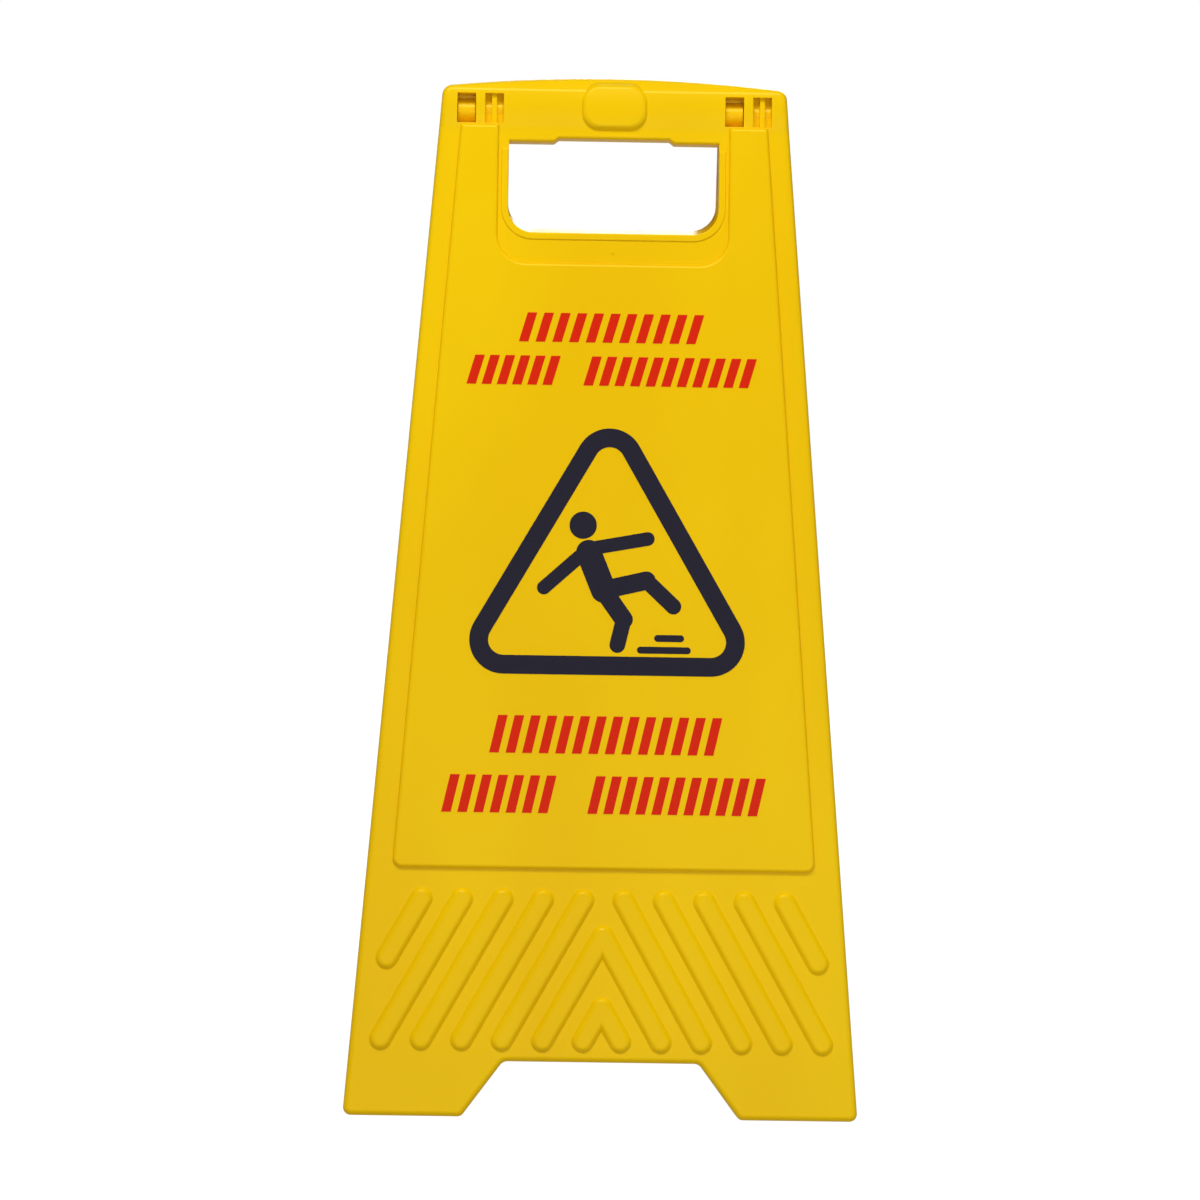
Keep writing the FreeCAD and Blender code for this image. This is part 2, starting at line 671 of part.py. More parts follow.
def cut_windows(body, s):
    """The hinge windows: two right through for the other panel's knuckles, two with floors."""
    floor = s.knuckle_radius - s.knuckle_crest
    half = s.window_height / 2
    rows = (("through_windows", (-s.outer_window, s.inner_window), as_size(-BACK)),
            ("floored_windows", (-s.inner_window, s.outer_window), floor))
    for name, centres, start in rows:
        sketch = new_sketch(body, name, "XZ_Plane", offset=start)
        for centre in centres:
            low = centre - s.window_width / 2
            high = centre + s.window_width / 2
            add_outline(sketch, [(low, -half), (high, -half), (high, half), (low, half)])
        pocket(body, sketch, PAST - start, reverse=True)


def cut_hollows(body, s):
    """The hollow back: the main cavity, the deeper one behind the field, the grip's."""
    main = new_sketch(body, "main_cavity", "XZ_Plane", offset=-BACK)
    top = -s.bar_drop - s.wall
    sole = s.wall - s.foot_reach + s.panel_depth * trig("tan", s.lean_angle)
    lintel = s.notch_height - s.foot_reach + s.wall
    side_wall = 1.25 * s.wall
    flange = s.handle_half_width + s.wall
    right = [(flange, -s.handle_foot - s.wall), (flange, top),
             (half_width_at(s, top) - s.wall, top), (half_width_at(s, sole) - s.wall, sole),
             (notch_half_at(s, sole) + side_wall, sole),
             (notch_half_at(s, lintel) + side_wall, lintel)]
    add_outline(main, mirrored(right))
    pocket(body, main, s.panel_depth - s.wall + BACK, reverse=True)

    deep = new_sketch(body, "field_cavity", "XZ_Plane", offset=-BACK)
    inset = 1.5 * s.wall
    foot = -s.field_foot + inset
    right = [(field_half_at(s, foot) - inset, foot), (field_half_at(s, top) - inset, top),
             (s.scoop_half_width + inset, top), (s.scoop_half_width + inset, -s.scoop_foot - inset)]
    add_outline(deep, mirrored(right))
    pocket(body, deep, s.panel_depth + s.field_rise - s.wall + BACK, reverse=True)

    grip = new_sketch(body, "grip_cavity", "XZ_Plane", offset=-BACK)
    low = -s.handle_top + s.relief_rise + s.wall
    high = s.axis_below_corner - s.wall
    end = s.pin_inner_end - s.wall
    add_outline(grip, mirrored([(end, low), (end, high)]))
    pocket(body, grip, s.panel_depth - s.wall + BACK, reverse=True)


def cut_parting(body, s):
    """The back: a clearance plane below the axis and the sloping stop face above it."""
    sketch = new_sketch(body, "parting", "YZ_Plane")
    lean = s.lean_angle
    half_stop = s.stop_gap / 2 / trig("cos", lean)
    top = s.axis_below_corner + s.arch_rise + 2
    low = -s.foot_reach - 2 * s.panel_depth
    # The stop face crosses the clearance plane a little above the axis.
    knee = (s.parting_gap - half_stop) / trig("tan", lean)
    past = as_size(BACK + 2)
    points = [(past, low), (past, top), (-half_stop - top * trig("tan", lean), top),
              (-s.parting_gap, knee), (-s.parting_gap, low)]
    add_outline(sketch, points)
    pocket(body, sketch, 3 * s.half_width_foot, symmetric=True)


def add_stiffeners(body, s):
    """Thin ribs across and down the back of the field."""
    depth = s.panel_depth + s.field_rise - 1.5 * s.wall
    set_in = 3 * s.wall
    across = new_sketch(body, "cross_stiffeners", "XZ_Plane", offset=s.wall)
    for index in range(1, 4):
        z = -s.scoop_foot - s.stiffener_spacing * index
        half = field_half_at(s, z) - s.wall
        low = z - s.stiffener_thickness / 2
        high = z + s.stiffener_thickness / 2
        add_outline(across, [(-half, low), (half, low), (half, high), (-half, high)])
    pad(body, across, depth - s.wall)
    down = new_sketch(body, "long_stiffeners", "XZ_Plane", offset=s.wall)
    for side in (-1, 1):
        left = side * s.scoop_half_width - s.stiffener_thickness / 2
        right = side * s.scoop_half_width + s.stiffener_thickness / 2
        low = -s.field_foot + set_in / 3
        high = -s.scoop_foot
        add_outline(down, [(left, low), (right, low), (right, high), (left, high)])
    pad(body, down, depth - s.wall)


def cut_pin_channels(body, s):
    """Half-round channels that clear the pins, from the edges in to a blind end."""
    for side, name in ((1, "right"), (-1, "left")):
        sketch = new_sketch(body, f"{name}_pin_channel", "YZ_Plane",
                            offset=side * s.pin_inner_end)
        add_circle(sketch, (as_size(0), as_size(0)), s.pin_radius + s.pin_clearance)
        pocket(body, sketch, s.half_width_top, reverse=side > 0)


def add_knuckles(body, s, bore_clearance):
    """The two bored knuckles, each with a blade in the window in front of it."""
    half = s.window_height / 2 + s.blade_root
    front = s.blade_setback - s.panel_depth
    back = s.knuckle_crest - s.knuckle_radius + s.knuckle_crest
    centre_line = (as_size(0), as_size(0))
    for centre, name in ((-s.inner_window, "left"), (s.outer_window, "right")):
        blade = new_sketch(body, f"{name}_blade", "YZ_Plane", offset=centre)
        add_outline(blade, [(front, -half), (back, -half), (back, half), (front, half)])
        pad(body, blade, s.blade_thickness, symmetric=True)
        knuckle = new_sketch(body, f"{name}_knuckle", "YZ_Plane", offset=centre)
        add_circle(knuckle, centre_line, s.knuckle_radius)
        add_circle(knuckle, centre_line, s.pin_radius + bore_clearance)
        pad(body, knuckle, s.window_width - 2 * s.knuckle_gap, symmetric=True)


def add_collar(body, s):
    """The raised collar round the lower part of the handle opening."""
    sketch = new_sketch(body, "collar", "XZ_Plane", offset=s.wall)
    outer = s.handle_half_width + s.collar_width
    foot = -s.handle_foot - s.collar_width
    top = -s.handle_top - s.collar_width
    add_outline(sketch, mirrored([(outer, foot), (outer, top)]))
    pad(body, sketch, s.panel_depth + s.collar_rise - s.wall)


def add_gate_mark(body, s):
    """The small stub that the moulding gate leaves in the recess."""
    sketch = new_sketch(body, "gate_mark", "XZ_Plane", offset=s.panel_depth - 1)
    middle = -(s.handle_foot + s.collar_width + s.scoop_foot) / 2
    add_circle(sketch, (as_size(0), middle), s.gate_radius)
    pad(body, sketch, s.gate_rise + 1)


def build_panel(doc, name, s, bore_clearance):
    """One moulded panel; the two differ only in the bores of their hinge knuckles."""
    body = doc.addObject("PartDesign::Body", name)
    body.Label = name
    add_blank(body, s)
    add_hinge_bar(body, s)
    cut_feet(body, s)
    round_outline(body, s)
    add_collar(body, s)
    cut_handle(body, s)
    add_boss(body, s)
    add_field(body, s)
    add_gate_mark(body, s)
    add_ribs(body, s)
    cut_windows(body, s)
    cut_hollows(body, s)
    add_stiffeners(body, s)
    cut_parting(body, s)
    cut_pin_channels(body, s)
    add_knuckles(body, s, bore_clearance)
    return body


# Pins and printed films -------------------------------------------------------------

def build_pin(doc, name, s, side):
    """A plain hinge pin, pushed in from the edge; side is 1 on +X and -1 on -X."""
    body = doc.addObject("PartDesign::Body", name)
    body.Label = name
    inner = s.pin_inner_end + s.pin_end_clearance
    outer = half_width_at(s, as_size(0)) - s.pin_end_clearance
    sketch = new_sketch(body, f"{name}_section", "YZ_Plane", offset=side * inner)
    add_circle(sketch, (as_size(0), as_size(0)), s.pin_radius)
    shank = pad(body, sketch, outer - inner, reverse=side < 0)
    ends = [f"Edge{index}" for index, edge in enumerate(shank.Shape.Edges, start=1)
            if edge.isClosed()]
    chamfer = body.newObject("PartDesign::Chamfer", f"{name}_chamfer")
    chamfer.Base = (shank, ends)
    chamfer.Size = s.pin_chamfer.value
    chamfer.setExpression("Size", s.pin_chamfer.text)
    doc.recompute()
    return body


def new_film(doc, name):
    """A body for one printed film."""
    body = doc.addObject("PartDesign::Body", name)
    body.Label = name
    return body


def film_sketch(body, name, s):
    """A sketch on the raised field's face."""
    level = s.panel_depth + s.field_rise
    return new_sketch(body, f"{body.Name}_{name}", "XZ_Plane", offset=level)


def add_strokes(sketch, s, start, end, middle, cap):
    """A run of slanted strokes between two places along a row."""
    count = int((end.value - start.value - s.stroke_slant.value) / s.stroke_pitch.value)
    spare = end - start - s.stroke_slant - s.stroke_width
    step = spare / count
    low = middle - cap / 2
    high = middle + cap / 2
    for index in range(count + 1):
        foot = start + step * index
        head = foot + s.stroke_slant
        add_outline(sketch, [(foot, low), (foot + s.stroke_width, low),
                             (head + s.stroke_width, high), (head, high)])


def build_upper_legend(doc, name, s):
    """Two rows of strokes above the triangle."""
    body = new_film(doc, name)
    first = film_sketch(body, "row_1", s)
    add_strokes(first, s, -s.row_1_half, s.row_1_half, -s.upper_row_1, s.upper_row_cap)
    pad(body, first, s.film_thickness)
    second = film_sketch(body, "row_2", s)
    add_strokes(second, s, -s.row_2_start, -s.row_2_break, -s.upper_row_2, s.upper_row_cap)
    add_strokes(second, s, -s.row_2_resume, s.row_2_end, -s.upper_row_2, s.upper_row_cap)
    pad(body, second, s.film_thickness)
    return body


def build_lower_legend(doc, name, s):
    """Two taller rows of strokes below the triangle."""
    body = new_film(doc, name)
    first = film_sketch(body, "row_3", s)
    add_strokes(first, s, -s.row_3_half, s.row_3_half, -s.lower_row_1, s.lower_row_cap)
    pad(body, first, s.film_thickness)
    second = film_sketch(body, "row_4", s)
    add_strokes(second, s, -s.row_4_start, -s.row_4_break, -s.lower_row_2, s.lower_row_cap)
    add_strokes(second, s, -s.row_4_resume, s.row_4_end, -s.lower_row_2, s.lower_row_cap)
    pad(body, second, s.film_thickness)
    return body


def build_triangle(doc, name, s):
    """The equal-sided warning triangle, a band with rounded corners."""
    body = new_film(doc, name)
    sketch = film_sketch(body, "band", s)
    tangent = root(as_size(3))
    foot = -s.triangle_foot
    half = s.triangle_height / tangent
    outer = [(half, foot), (as_size(0), foot + s.triangle_height), (-half, foot)]
    inner_foot = foot + s.triangle_band
    inner_height = s.triangle_height - 3 * s.triangle_band
    inner_half = inner_height / tangent
    inner = [(inner_half, inner_foot), (as_size(0), inner_foot + inner_height),
             (-inner_half, inner_foot)]
    add_outline(sketch, outer)
    add_outline(sketch, inner)
    pad(body, sketch, s.film_thickness)
    fillet(body, f"{name}_outer", s.triangle_radius, corner_edges(outer[:2]))
    fillet(body, f"{name}_inner", s.triangle_radius - s.triangle_band, corner_edges(inner[:2]))
    return body


# The figure's limbs in modules from its middle: name, start, end, half width.
LIMBS = [
    ("trunk", (-1.15, 1.35), (-0.25, -0.85), 0.74),
    ("leading_arm", (-0.95, 1.6), (2.3, 2.2), 0.4),
    ("trailing_arm", (-1.3, 1.45), (-3.75, -0.75), 0.4),
    ("raised_thigh", (-0.1, -0.8), (2.25, -0.25), 0.54),
    ("raised_shin", (2.25, -0.25), (3.85, -1.75), 0.46),
    ("planted_thigh", (-0.2, -0.95), (0.95, -2.55), 0.54),
    ("planted_shin", (0.95, -2.55), (0.6, -4.05), 0.46),
    ("floor_mark", (1.95, -4.33), (4.7, -4.33), 0.2),
    ("short_floor_mark", (2.95, -3.63), (4.3, -3.63), 0.2),
]
HEAD = ((-1.5, 2.95), 0.8)


def build_figure(doc, name, s):
    """A plain figure that loses its footing, drawn from a disc and round-ended bars."""
    body = new_film(doc, name)

    def place(point):
        return (s.figure_unit * point[0], s.figure_unit * point[1] - s.figure_middle)

    head = film_sketch(body, "head", s)
    add_circle(head, place(HEAD[0]), s.figure_unit * HEAD[1])
    pad(body, head, s.film_thickness)
    for limb, start, end, half_width in LIMBS:
        sketch = film_sketch(body, limb, s)
        add_capsule(sketch, place(start), place(end), s.figure_unit * half_width)
        pad(body, sketch, s.film_thickness)
    return body


FILMS = [
    ("upper_legend", build_upper_legend),
    ("warning_triangle", build_triangle),
    ("slip_figure", build_figure),
    ("lower_legend", build_lower_legend),
]


# The assembly -----------------------------------------------------------------------

def hinge_height(s):
    """Height of the hinge axis above the floor when the sign stands open."""
    return s.foot_reach * trig("cos", s.lean_angle) - s.panel_depth * trig("sin", s.lean_angle)


def stand(body, s, height, half_turn):
    """Lean a flat piece about the hinge axis; the rear ones are turned round first."""
    lean = FreeCAD.Rotation(V(1, 0, 0), -s.lean_angle.value)
    turn = FreeCAD.Rotation(V(0, 0, 1), half_turn)
    body.Placement = FreeCAD.Placement(V(0, 0, height.value), turn * lean)
    body.setExpression("Placement.Base.z", height.text)


def main():
    """Build every sub-part, test it and write its file."""
    doc = FreeCAD.newDocument("wet_floor_sign")
    s = Sizes(doc)
    height = hinge_height(s)
    bodies = []
    sides = (("front", 0, as_size(0)), ("rear", 180, s.pin_running))
    for side, half_turn, bore_clearance in sides:
        pieces = [build_panel(doc, f"{side}_panel", s, bore_clearance)]
        pieces += [build(doc, f"{side}_{film}", s) for film, build in FILMS]
        for piece in pieces:
            stand(piece, s, height, half_turn)
        bodies += pieces
    for side, sign in (("right", 1), ("left", -1)):
        pin = build_pin(doc, f"hinge_pin_{side}", s, sign)
        pin.Placement.Base = V(0, 0, height.value)
        pin.setExpression("Placement.Base.z", height.text)
        bodies.append(pin)
    doc.recompute()
    for item in doc.Objects:
        if "Invalid" in item.State or "Error" in item.State:
            raise RuntimeError(f"{item.Name} failed: {item.State}")
    os.makedirs("parts", exist_ok=True)
    for body in bodies:
        shape = body.Shape
        if shape.isNull() or not shape.isValid():
            raise RuntimeError(f"{body.Label} has no valid shape")
        print(f"{body.Label}: {len(shape.Solids)} solids, {shape.Volume / 1000:.1f} cm3")
        shape.exportStep(f"parts/{body.Label}.step")


main()
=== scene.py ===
"""Folding wet floor sign: moulded finishes, printed films, stage, light and camera."""
import json
import math

import bpy
from mathutils import Matrix, Vector

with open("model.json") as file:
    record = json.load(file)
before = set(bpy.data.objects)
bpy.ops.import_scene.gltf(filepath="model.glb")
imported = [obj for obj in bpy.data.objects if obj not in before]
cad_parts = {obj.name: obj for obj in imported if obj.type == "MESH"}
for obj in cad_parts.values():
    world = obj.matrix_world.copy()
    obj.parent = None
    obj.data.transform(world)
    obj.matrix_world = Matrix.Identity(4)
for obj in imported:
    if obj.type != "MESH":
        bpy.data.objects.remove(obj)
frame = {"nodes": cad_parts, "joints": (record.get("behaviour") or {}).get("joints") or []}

bl_info = {
    "name": "Folding Wet Floor Sign",
    "version": (1, 0, 0),
    "blender": (4, 5, 0),
    "location": "View3D > Sidebar > Floor Sign",
    "description": "Finishes a folding A-frame floor sign and sets it on a studio floor",
    "category": "Object",
}

MM = 0.001
HINGE = frame["joints"][0]
HINGE_HEIGHT = HINGE["pos_m"][2]
HALF_OPENING = math.radians(HINGE["range_deg"][1] / 2)
PANELS = ("front_panel", "rear_panel")
PINS = ("hinge_pin_left", "hinge_pin_right")
RED_FILMS = ("front_upper_legend", "front_lower_legend", "rear_upper_legend", "rear_lower_legend")
BLACK_FILMS = ("front_warning_triangle", "front_slip_figure",
               "rear_warning_triangle", "rear_slip_figure")

STREAK_SCALE = 9  # flow streaks, in waves a metre across the panel
STREAK_STRETCH = 0.35  # the same along the panel, as a share
DRAWING_SCALE = 900  # drawing lines round the pin, in waves a metre
DRAWING_STRETCH = 0.03  # the same along the pin, as a share
DRAWING_DEPTH = 0.05 * MM
MESH_MOTTLE = 0.9 * MM  # mottle that the printing mesh leaves in the ink
THIN_INK = 0.88  # tone of the ink where the coat is thinnest

FLOOR_SIZE = 60
SENSOR_WIDTH = 36
# Where the camera looks, in the front panel's own frame.
VIEW_CENTRE = (-4.5 * MM, -13.5 * MM, -290.3 * MM)
SIGN_MIDDLE = (0, 0, 0.32)
SIGN_FOOT = (0, 0, 0.15)
RIGHT_FILL_SHARE = 1.35  # the right-hand box is a little stronger than the left-hand one


def linear(code):
    """Scene-linear colour of an sRGB hex code."""
    channels = [int(code[place:place + 2], 16) / 255 for place in (0, 2, 4)]
    return [value / 12.92 if value <= 0.04045 else ((value + 0.055) / 1.055) ** 2.4
            for value in channels]


# Sizes and colours a user may change -------------------------------------------------

class SignColours(bpy.types.PropertyGroup):
    """Colours of the moulding compound, the pins and the two inks."""

    yellow: bpy.props.FloatVectorProperty(
        name="Safety yellow", description="Pigment of the moulded panels",
        subtype="COLOR", size=3, min=0, max=1, default=linear("F8CB00"))
    flow_yellow: bpy.props.FloatVectorProperty(
        name="Flow-line yellow", description="Slightly deeper tone where the melt ran",
        subtype="COLOR", size=3, min=0, max=1, default=linear("F3C300"))
    pin_yellow: bpy.props.FloatVectorProperty(
        name="Pin yellow", description="Pigment of the extruded hinge pins",
        subtype="COLOR", size=3, min=0, max=1, default=linear("E8B80A"))
    red_ink: bpy.props.FloatVectorProperty(
        name="Red ink", description="Ink of the legend strokes",
        subtype="COLOR", size=3, min=0, max=1, default=linear("E02400"))
    black_ink: bpy.props.FloatVectorProperty(
        name="Black ink", description="Ink of the triangle and the figure",
        subtype="COLOR", size=3, min=0, max=1, default=linear("242230"))


class SignSurface(bpy.types.PropertyGroup):
    """Scale and depth of the surface textures."""

    grain: bpy.props.FloatProperty(
        name="Mould grain", description="Size of the spark-eroded grain of the tool",
        unit="LENGTH", min=0.0002, max=0.01, default=1.1 * MM)
    grain_depth: bpy.props.FloatProperty(
        name="Grain depth", description="Height of that grain",
        unit="LENGTH", min=0, max=0.001, default=0.03 * MM)
    sink: bpy.props.FloatProperty(
        name="Sink spacing", description="Spacing of the shallow waves of a cooled wall",
        unit="LENGTH", min=0.005, max=0.2, default=34 * MM)
    sink_depth: bpy.props.FloatProperty(
        name="Sink depth", description="Height of those waves",
        unit="LENGTH", min=0, max=0.001, default=0.12 * MM)


class SignStage(bpy.types.PropertyGroup):
    """Camera and light."""

    distance: bpy.props.FloatProperty(
        name="Camera distance", description="From the camera to the front panel",
        unit="LENGTH", min=0.5, max=20, default=3.0)
    view_height: bpy.props.FloatProperty(
        name="Framed height", description="Height of the frame at the front panel",
        unit="LENGTH", min=0.1, max=5, default=0.7023)
    azimuth: bpy.props.FloatProperty(
        name="Azimuth", description="Camera to the right of the sign's middle plane",
        subtype="ANGLE", default=math.radians(-1.0))
    elevation: bpy.props.FloatProperty(
        name="Elevation", description="Camera above the horizon",
        subtype="ANGLE", default=math.radians(6.5))
    roll: bpy.props.FloatProperty(
        name="Roll", description="Turn of the camera about its own axis",
        subtype="ANGLE", default=math.radians(1.02))
    key_power: bpy.props.FloatProperty(
        name="Key light", description="Power of the overhead soft box in watts",
        min=0, max=500, default=37)
    fill_power: bpy.props.FloatProperty(
        name="Fill light", description="Power of each side soft box in watts",
        min=0, max=500, default=3.4)
    front_power: bpy.props.FloatProperty(
        name="Front light", description="Power of the low soft box near the camera in watts",
        min=0, max=500, default=20)
    rear_power: bpy.props.FloatProperty(
        name="Rear light", description="Power of the soft box behind the sign in watts",
        min=0, max=500, default=36)
    surround: bpy.props.FloatProperty(
        name="Surround", description="Light of the white surroundings on matt surfaces",
        min=0, max=5, default=0.12)
    surround_in_gloss: bpy.props.FloatProperty(
        name="Surround in reflections", description="Brightness of the surroundings in highlights",
        min=0, max=5, default=0.04)
    floor_glow: bpy.props.FloatProperty(
        name="Floor glow", description="Brightness of the white sweep as the camera sees it",
        min=0, max=5, default=1.0)
    floor_bounce: bpy.props.FloatProperty(
        name="Floor bounce", description="Light the sweep sends back up to the sign",
        min=0, max=5, default=0.35)


# Nodes -------------------------------------------------------------------------------

def add_node(tree, kind, settings=None, links=None):
    """Add a node, set its values and sockets, and link sockets from other nodes."""
    node = tree.nodes.new(kind)
    for name, value in (settings or {}).items():
        if name in node.inputs:
            node.inputs[name].default_value = value
        else:
            setattr(node, name, value)
    for name, source in (links or {}).items():
        tree.links.new(source, node.inputs[name])
    return node


def new_material(name):
    """An empty node material."""
    material = bpy.data.materials.new(name)
    material.use_nodes = True
    material.node_tree.nodes.clear()
    return material


def opaque(colour):
    """A colour with full alpha."""
    return (*colour, 1)


def stretched(tree, place, scale):
    """Coordinates scaled by a share along each axis."""
    return add_node(tree, "ShaderNodeMapping", {"Scale": scale},
                    {"Vector": place}).outputs["Vector"]


def finish_surface(material, shader):
    """Send a shader to the material's output."""
    add_node(material.node_tree, "ShaderNodeOutputMaterial",
             links={"Surface": shader.outputs["BSDF"]})
    return material


def dress(names, material):
    """Give CAD nodes one material in every slot."""
    for name in names:
        for slot in frame["nodes"][name].material_slots:
            slot.material = material


# Injection-moulded polypropylene copolymer, pigmented right through. A fine spark-eroded
# tool leaves an even semi-gloss skin, and the cooling wall leaves very shallow waves, so
# highlights are broad, soft and slightly uneven.
def moulded_polypropylene(colours, surface):
    material = new_material("moulded_polypropylene_yellow")
    tree = material.node_tree
    place = add_node(tree, "ShaderNodeTexCoord").outputs["Object"]
    waves = add_node(tree, "ShaderNodeTexNoise",
                     {"Scale": 1 / surface.sink, "Detail": 2, "Roughness": 0.4},
                     {"Vector": place})
    grain = add_node(tree, "ShaderNodeTexNoise",
                     {"Scale": 1 / surface.grain, "Detail": 2, "Roughness": 0.5},
                     {"Vector": place})
    streaks = add_node(tree, "ShaderNodeTexNoise",
                       {"Scale": STREAK_SCALE, "Detail": 3, "Roughness": 0.45},
                       {"Vector": stretched(tree, place, (1, 1, STREAK_STRETCH))})
    colour = add_node(tree, "ShaderNodeValToRGB", links={"Fac": streaks.outputs["Fac"]})
    colour.color_ramp.elements[0].position = 0.35
    colour.color_ramp.elements[0].color = opaque(colours.flow_yellow)
    colour.color_ramp.elements[1].position = 0.65
    colour.color_ramp.elements[1].color = opaque(colours.yellow)
    gloss = add_node(tree, "ShaderNodeMapRange", {"To Min": 0.28, "To Max": 0.36},
                     {"Value": waves.outputs["Fac"]})
    bend = add_node(tree, "ShaderNodeBump", {"Strength": 0.5, "Distance": surface.sink_depth},
                    {"Height": waves.outputs["Fac"]})
    skin = add_node(tree, "ShaderNodeBump", {"Strength": 0.35, "Distance": surface.grain_depth},
                    {"Height": grain.outputs["Fac"], "Normal": bend.outputs["Normal"]})
    shader = add_node(tree, "ShaderNodeBsdfPrincipled",
                      {"IOR": 1.49, "Specular IOR Level": 0.36,
                       "Specular Tint": opaque(linear("FFE88C"))},
                      {"Base Color": colour.outputs["Color"], "Roughness": gloss.outputs["Result"],
                       "Normal": skin.outputs["Normal"]})
    return finish_surface(material, shader)


# Extruded nylon rod: a little waxier than the panels, with fine drawing lines along it.
def extruded_nylon(colours):
    material = new_material("extruded_nylon_yellow")
    tree = material.node_tree
    place = add_node(tree, "ShaderNodeTexCoord").outputs["Object"]
    lines = add_node(tree, "ShaderNodeTexNoise", {"Scale": DRAWING_SCALE, "Detail": 2},
                     {"Vector": stretched(tree, place, (DRAWING_STRETCH, 1, 1))})
    gloss = add_node(tree, "ShaderNodeMapRange", {"To Min": 0.38, "To Max": 0.52},
                     {"Value": lines.outputs["Fac"]})
    drawn = add_node(tree, "ShaderNodeBump", {"Strength": 0.3, "Distance": DRAWING_DEPTH},
                     {"Height": lines.outputs["Fac"]})
    shader = add_node(tree, "ShaderNodeBsdfPrincipled",
                      {"Base Color": opaque(colours.pin_yellow), "IOR": 1.53},
                      {"Roughness": gloss.outputs["Result"], "Normal": drawn.outputs["Normal"]})
    return finish_surface(material, shader)


# Screen-printed ink on polypropylene: one even coat with a faint mottle from the mesh,
# drawn at 0.9 mm because the mesh itself is finer than shows.
def screen_ink(name, colour, gloss_range, surface):
    material = new_material(name)
    tree = material.node_tree
    place = add_node(tree, "ShaderNodeTexCoord").outputs["Object"]
    mottle = add_node(tree, "ShaderNodeTexNoise", {"Scale": 1 / MESH_MOTTLE, "Detail": 2},
                      {"Vector": place})
    low, high = gloss_range
    gloss = add_node(tree, "ShaderNodeMapRange", {"To Min": low, "To Max": high},
                     {"Value": mottle.outputs["Fac"]})
    tone = add_node(tree, "ShaderNodeValToRGB", links={"Fac": mottle.outputs["Fac"]})
    tone.color_ramp.elements[0].position = 0.3
    tone.color_ramp.elements[0].color = opaque([channel * THIN_INK for channel in colour])
    tone.color_ramp.elements[1].position = 0.6
    tone.color_ramp.elements[1].color = opaque(colour)
    coat = add_node(tree, "ShaderNodeBump",
                    {"Strength": 0.3, "Distance": surface.grain_depth},
                    {"Height": mottle.outputs["Fac"]})
    shader = add_node(tree, "ShaderNodeBsdfPrincipled",
                      {"IOR": 1.47, "Specular IOR Level": 0.12},
                      {"Base Color": tone.outputs["Color"], "Roughness": gloss.outputs["Result"],
                       "Normal": coat.outputs["Normal"]})
    return finish_surface(material, shader)


# Operators ---------------------------------------------------------------------------

class SIGN_OT_panels(bpy.types.Operator):
    """Finish both moulded panels"""

    bl_idname = "floor_sign.panels"
    bl_label = "Panels"

    def execute(self, context):
        scene = context.scene
        dress(PANELS, moulded_polypropylene(scene.sign_colours, scene.sign_surface))
        return {"FINISHED"}


class SIGN_OT_pins(bpy.types.Operator):
    """Finish the hinge pins"""

    bl_idname = "floor_sign.pins"
    bl_label = "Hinge Pins"

    def execute(self, context):
        dress(PINS, extruded_nylon(context.scene.sign_colours))
        return {"FINISHED"}


class SIGN_OT_prints(bpy.types.Operator):
    """Finish the red and black printed films"""

    bl_idname = "floor_sign.prints"
    bl_label = "Printed Films"

    def execute(self, context):
        colours = context.scene.sign_colours
        surface = context.scene.sign_surface
        dress(RED_FILMS, screen_ink("screen_ink_red", colours.red_ink, (0.34, 0.42), surface))
        dress(BLACK_FILMS, screen_ink("screen_ink_black", colours.black_ink, (0.38, 0.48), surface))
        return {"FINISHED"}


def soft_box(name, place, target, width, height, power):
    """A rectangular area light that faces a target."""
    light = bpy.data.lights.new(name, "AREA")
    light.shape = "RECTANGLE"
    light.size = width
    light.size_y = height
    light.energy = power
    holder = bpy.data.objects.new(name, light)
    holder.location = place
    holder.rotation_euler = (Vector(target) - Vector(place)).to_track_quat("-Z", "Y").to_euler()
    bpy.context.scene.collection.objects.link(holder)


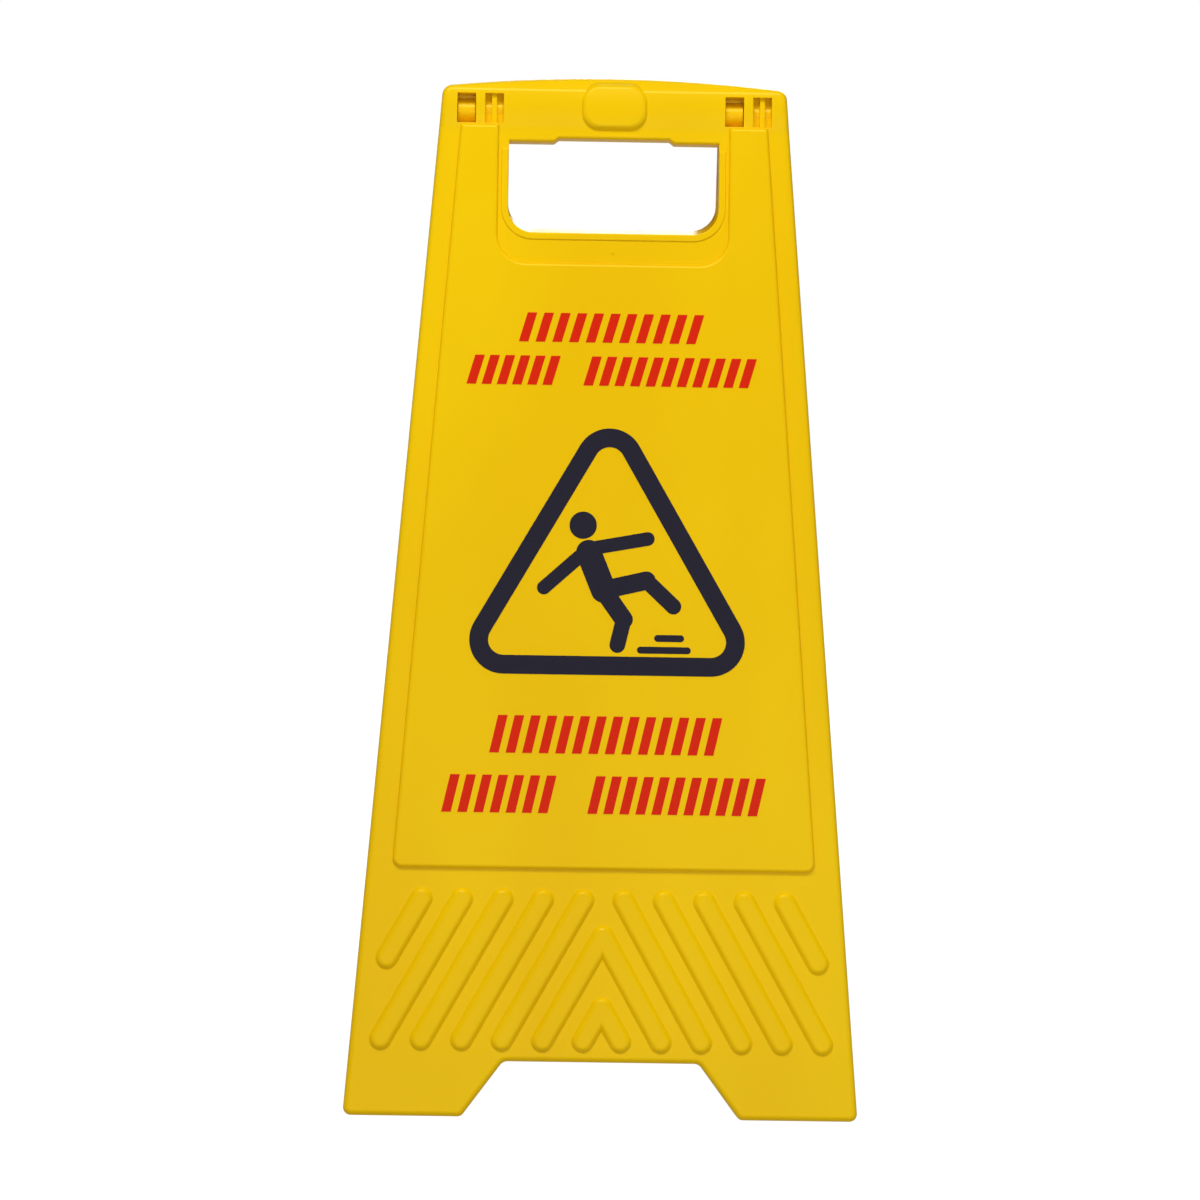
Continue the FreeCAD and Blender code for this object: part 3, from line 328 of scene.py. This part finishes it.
class SIGN_OT_stage(bpy.types.Operator):
    """Set the floor, the soft light and the camera"""

    bl_idname = "floor_sign.stage"
    bl_label = "Stage"

    def execute(self, context):
        stage = context.scene.sign_stage
        self.lay_floor(stage)
        self.light_studio(context.scene, stage)
        self.place_camera(context.scene, stage)
        return {"FINISHED"}

    def lay_floor(self, stage):
        """A wide matt white sweep that stays evenly bright."""
        bpy.ops.object.select_all(action="DESELECT")
        bpy.ops.mesh.primitive_plane_add(size=FLOOR_SIZE)
        floor = bpy.context.object
        floor.name = "studio_floor"
        material = new_material("matt_white_paper")
        tree = material.node_tree
        path = add_node(tree, "ShaderNodeLightPath")
        glow = add_node(tree, "ShaderNodeMapRange",
                        {"To Min": stage.floor_bounce, "To Max": stage.floor_glow},
                        {"Value": path.outputs["Is Camera Ray"]})
        shader = add_node(tree, "ShaderNodeBsdfPrincipled",
                          {"Base Color": opaque(linear("5A5A5A")), "Roughness": 0.9,
                           "Specular IOR Level": 0.1, "Emission Color": opaque(linear("FFFFFF"))},
                          {"Emission Strength": glow.outputs["Result"]})
        floor.data.materials.append(finish_surface(material, shader))

    def light_studio(self, scene, stage):
        """Even white surroundings, dim in reflections, with soft boxes above and beside."""
        world = bpy.data.worlds.new("studio_surround")
        world.use_nodes = True
        tree = world.node_tree
        tree.nodes.clear()
        path = add_node(tree, "ShaderNodeLightPath")
        lit = add_node(tree, "ShaderNodeMapRange",
                       {"To Min": stage.surround, "To Max": stage.surround_in_gloss},
                       {"Value": path.outputs["Is Glossy Ray"]})
        shown = add_node(tree, "ShaderNodeMapRange", {"To Max": 1},
                         {"Value": path.outputs["Is Camera Ray"], "To Min": lit.outputs["Result"]})
        back = add_node(tree, "ShaderNodeBackground", {"Color": opaque(linear("FFFFFF"))},
                        {"Strength": shown.outputs["Result"]})
        add_node(tree, "ShaderNodeOutputWorld", links={"Surface": back.outputs["Background"]})
        scene.world = world
        soft_box("overhead_box", (-0.2, -1.25, 2.3), SIGN_MIDDLE, 1.3, 0.7, stage.key_power)
        soft_box("left_box", (-2.0, -1.5, 0.9), SIGN_MIDDLE, 0.9, 1.4, stage.fill_power)
        soft_box("right_box", (2.0, -1.5, 0.9), SIGN_MIDDLE, 0.9, 1.4,
                 RIGHT_FILL_SHARE * stage.fill_power)
        soft_box("front_box", (0.25, -3.0, 0.35), SIGN_FOOT, 2.4, 1.2, stage.front_power)
        soft_box("rear_box", (0.6, 2.4, 1.6), SIGN_MIDDLE, 1.4, 1.4, stage.rear_power)
        scene.view_settings.view_transform = "Standard"

    def place_camera(self, scene, stage):
        """In front of the front panel, a little to the left and above, with a slight roll."""
        target = self.panel_point(VIEW_CENTRE)
        level = math.cos(stage.elevation)
        way = Vector((math.sin(stage.azimuth) * level, -math.cos(stage.azimuth) * level,
                      math.sin(stage.elevation)))
        camera = bpy.data.cameras.new("front_camera")
        camera.sensor_width = SENSOR_WIDTH
        camera.lens = camera.sensor_width * stage.distance / stage.view_height
        camera.clip_end = 100
        holder = bpy.data.objects.new("front_camera", camera)
        look = (-way).to_track_quat("-Z", "Y").to_matrix()
        turn = look @ Matrix.Rotation(stage.roll, 3, "Z")
        holder.matrix_world = Matrix.Translation(target + way * stage.distance) @ turn.to_4x4()
        scene.collection.objects.link(holder)
        scene.camera = holder

    def panel_point(self, point):
        """A point of the front panel's own frame, moved to where the panel leans."""
        lean = Matrix.Rotation(-HALF_OPENING, 3, "X")
        return lean @ Vector(point) + Vector((0, 0, HINGE_HEIGHT))


class SIGN_PT_sidebar(bpy.types.Panel):
    """Steps and settings of the floor sign"""

    bl_idname = "SIGN_PT_sidebar"
    bl_label = "Floor Sign"
    bl_space_type = "VIEW_3D"
    bl_region_type = "UI"
    bl_category = "Floor Sign"

    def draw(self, context):
        layout = self.layout
        for step in STEPS:
            layout.operator(step.bl_idname)
        for group in (context.scene.sign_colours, context.scene.sign_surface,
                      context.scene.sign_stage):
            box = layout.box()
            for name in group.__annotations__:
                box.prop(group, name)


STEPS = (SIGN_OT_panels, SIGN_OT_pins, SIGN_OT_prints, SIGN_OT_stage)
GROUPS = {"sign_colours": SignColours, "sign_surface": SignSurface, "sign_stage": SignStage}


def register():
    """Register the classes and their settings."""
    for name, group in GROUPS.items():
        bpy.utils.register_class(group)
        setattr(bpy.types.Scene, name, bpy.props.PointerProperty(type=group))
    for item in (*STEPS, SIGN_PT_sidebar):
        bpy.utils.register_class(item)


def unregister():
    """Take everything back out."""
    for item in (SIGN_PT_sidebar, *reversed(STEPS)):
        bpy.utils.unregister_class(item)
    for name, group in reversed(GROUPS.items()):
        delattr(bpy.types.Scene, name)
        bpy.utils.unregister_class(group)


def main():
    """Build the visual model step by step."""
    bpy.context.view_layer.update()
    register()
    for step in STEPS:
        group, name = step.bl_idname.split(".")
        getattr(getattr(bpy.ops, group), name)()


if __name__ == "__main__":
    main()
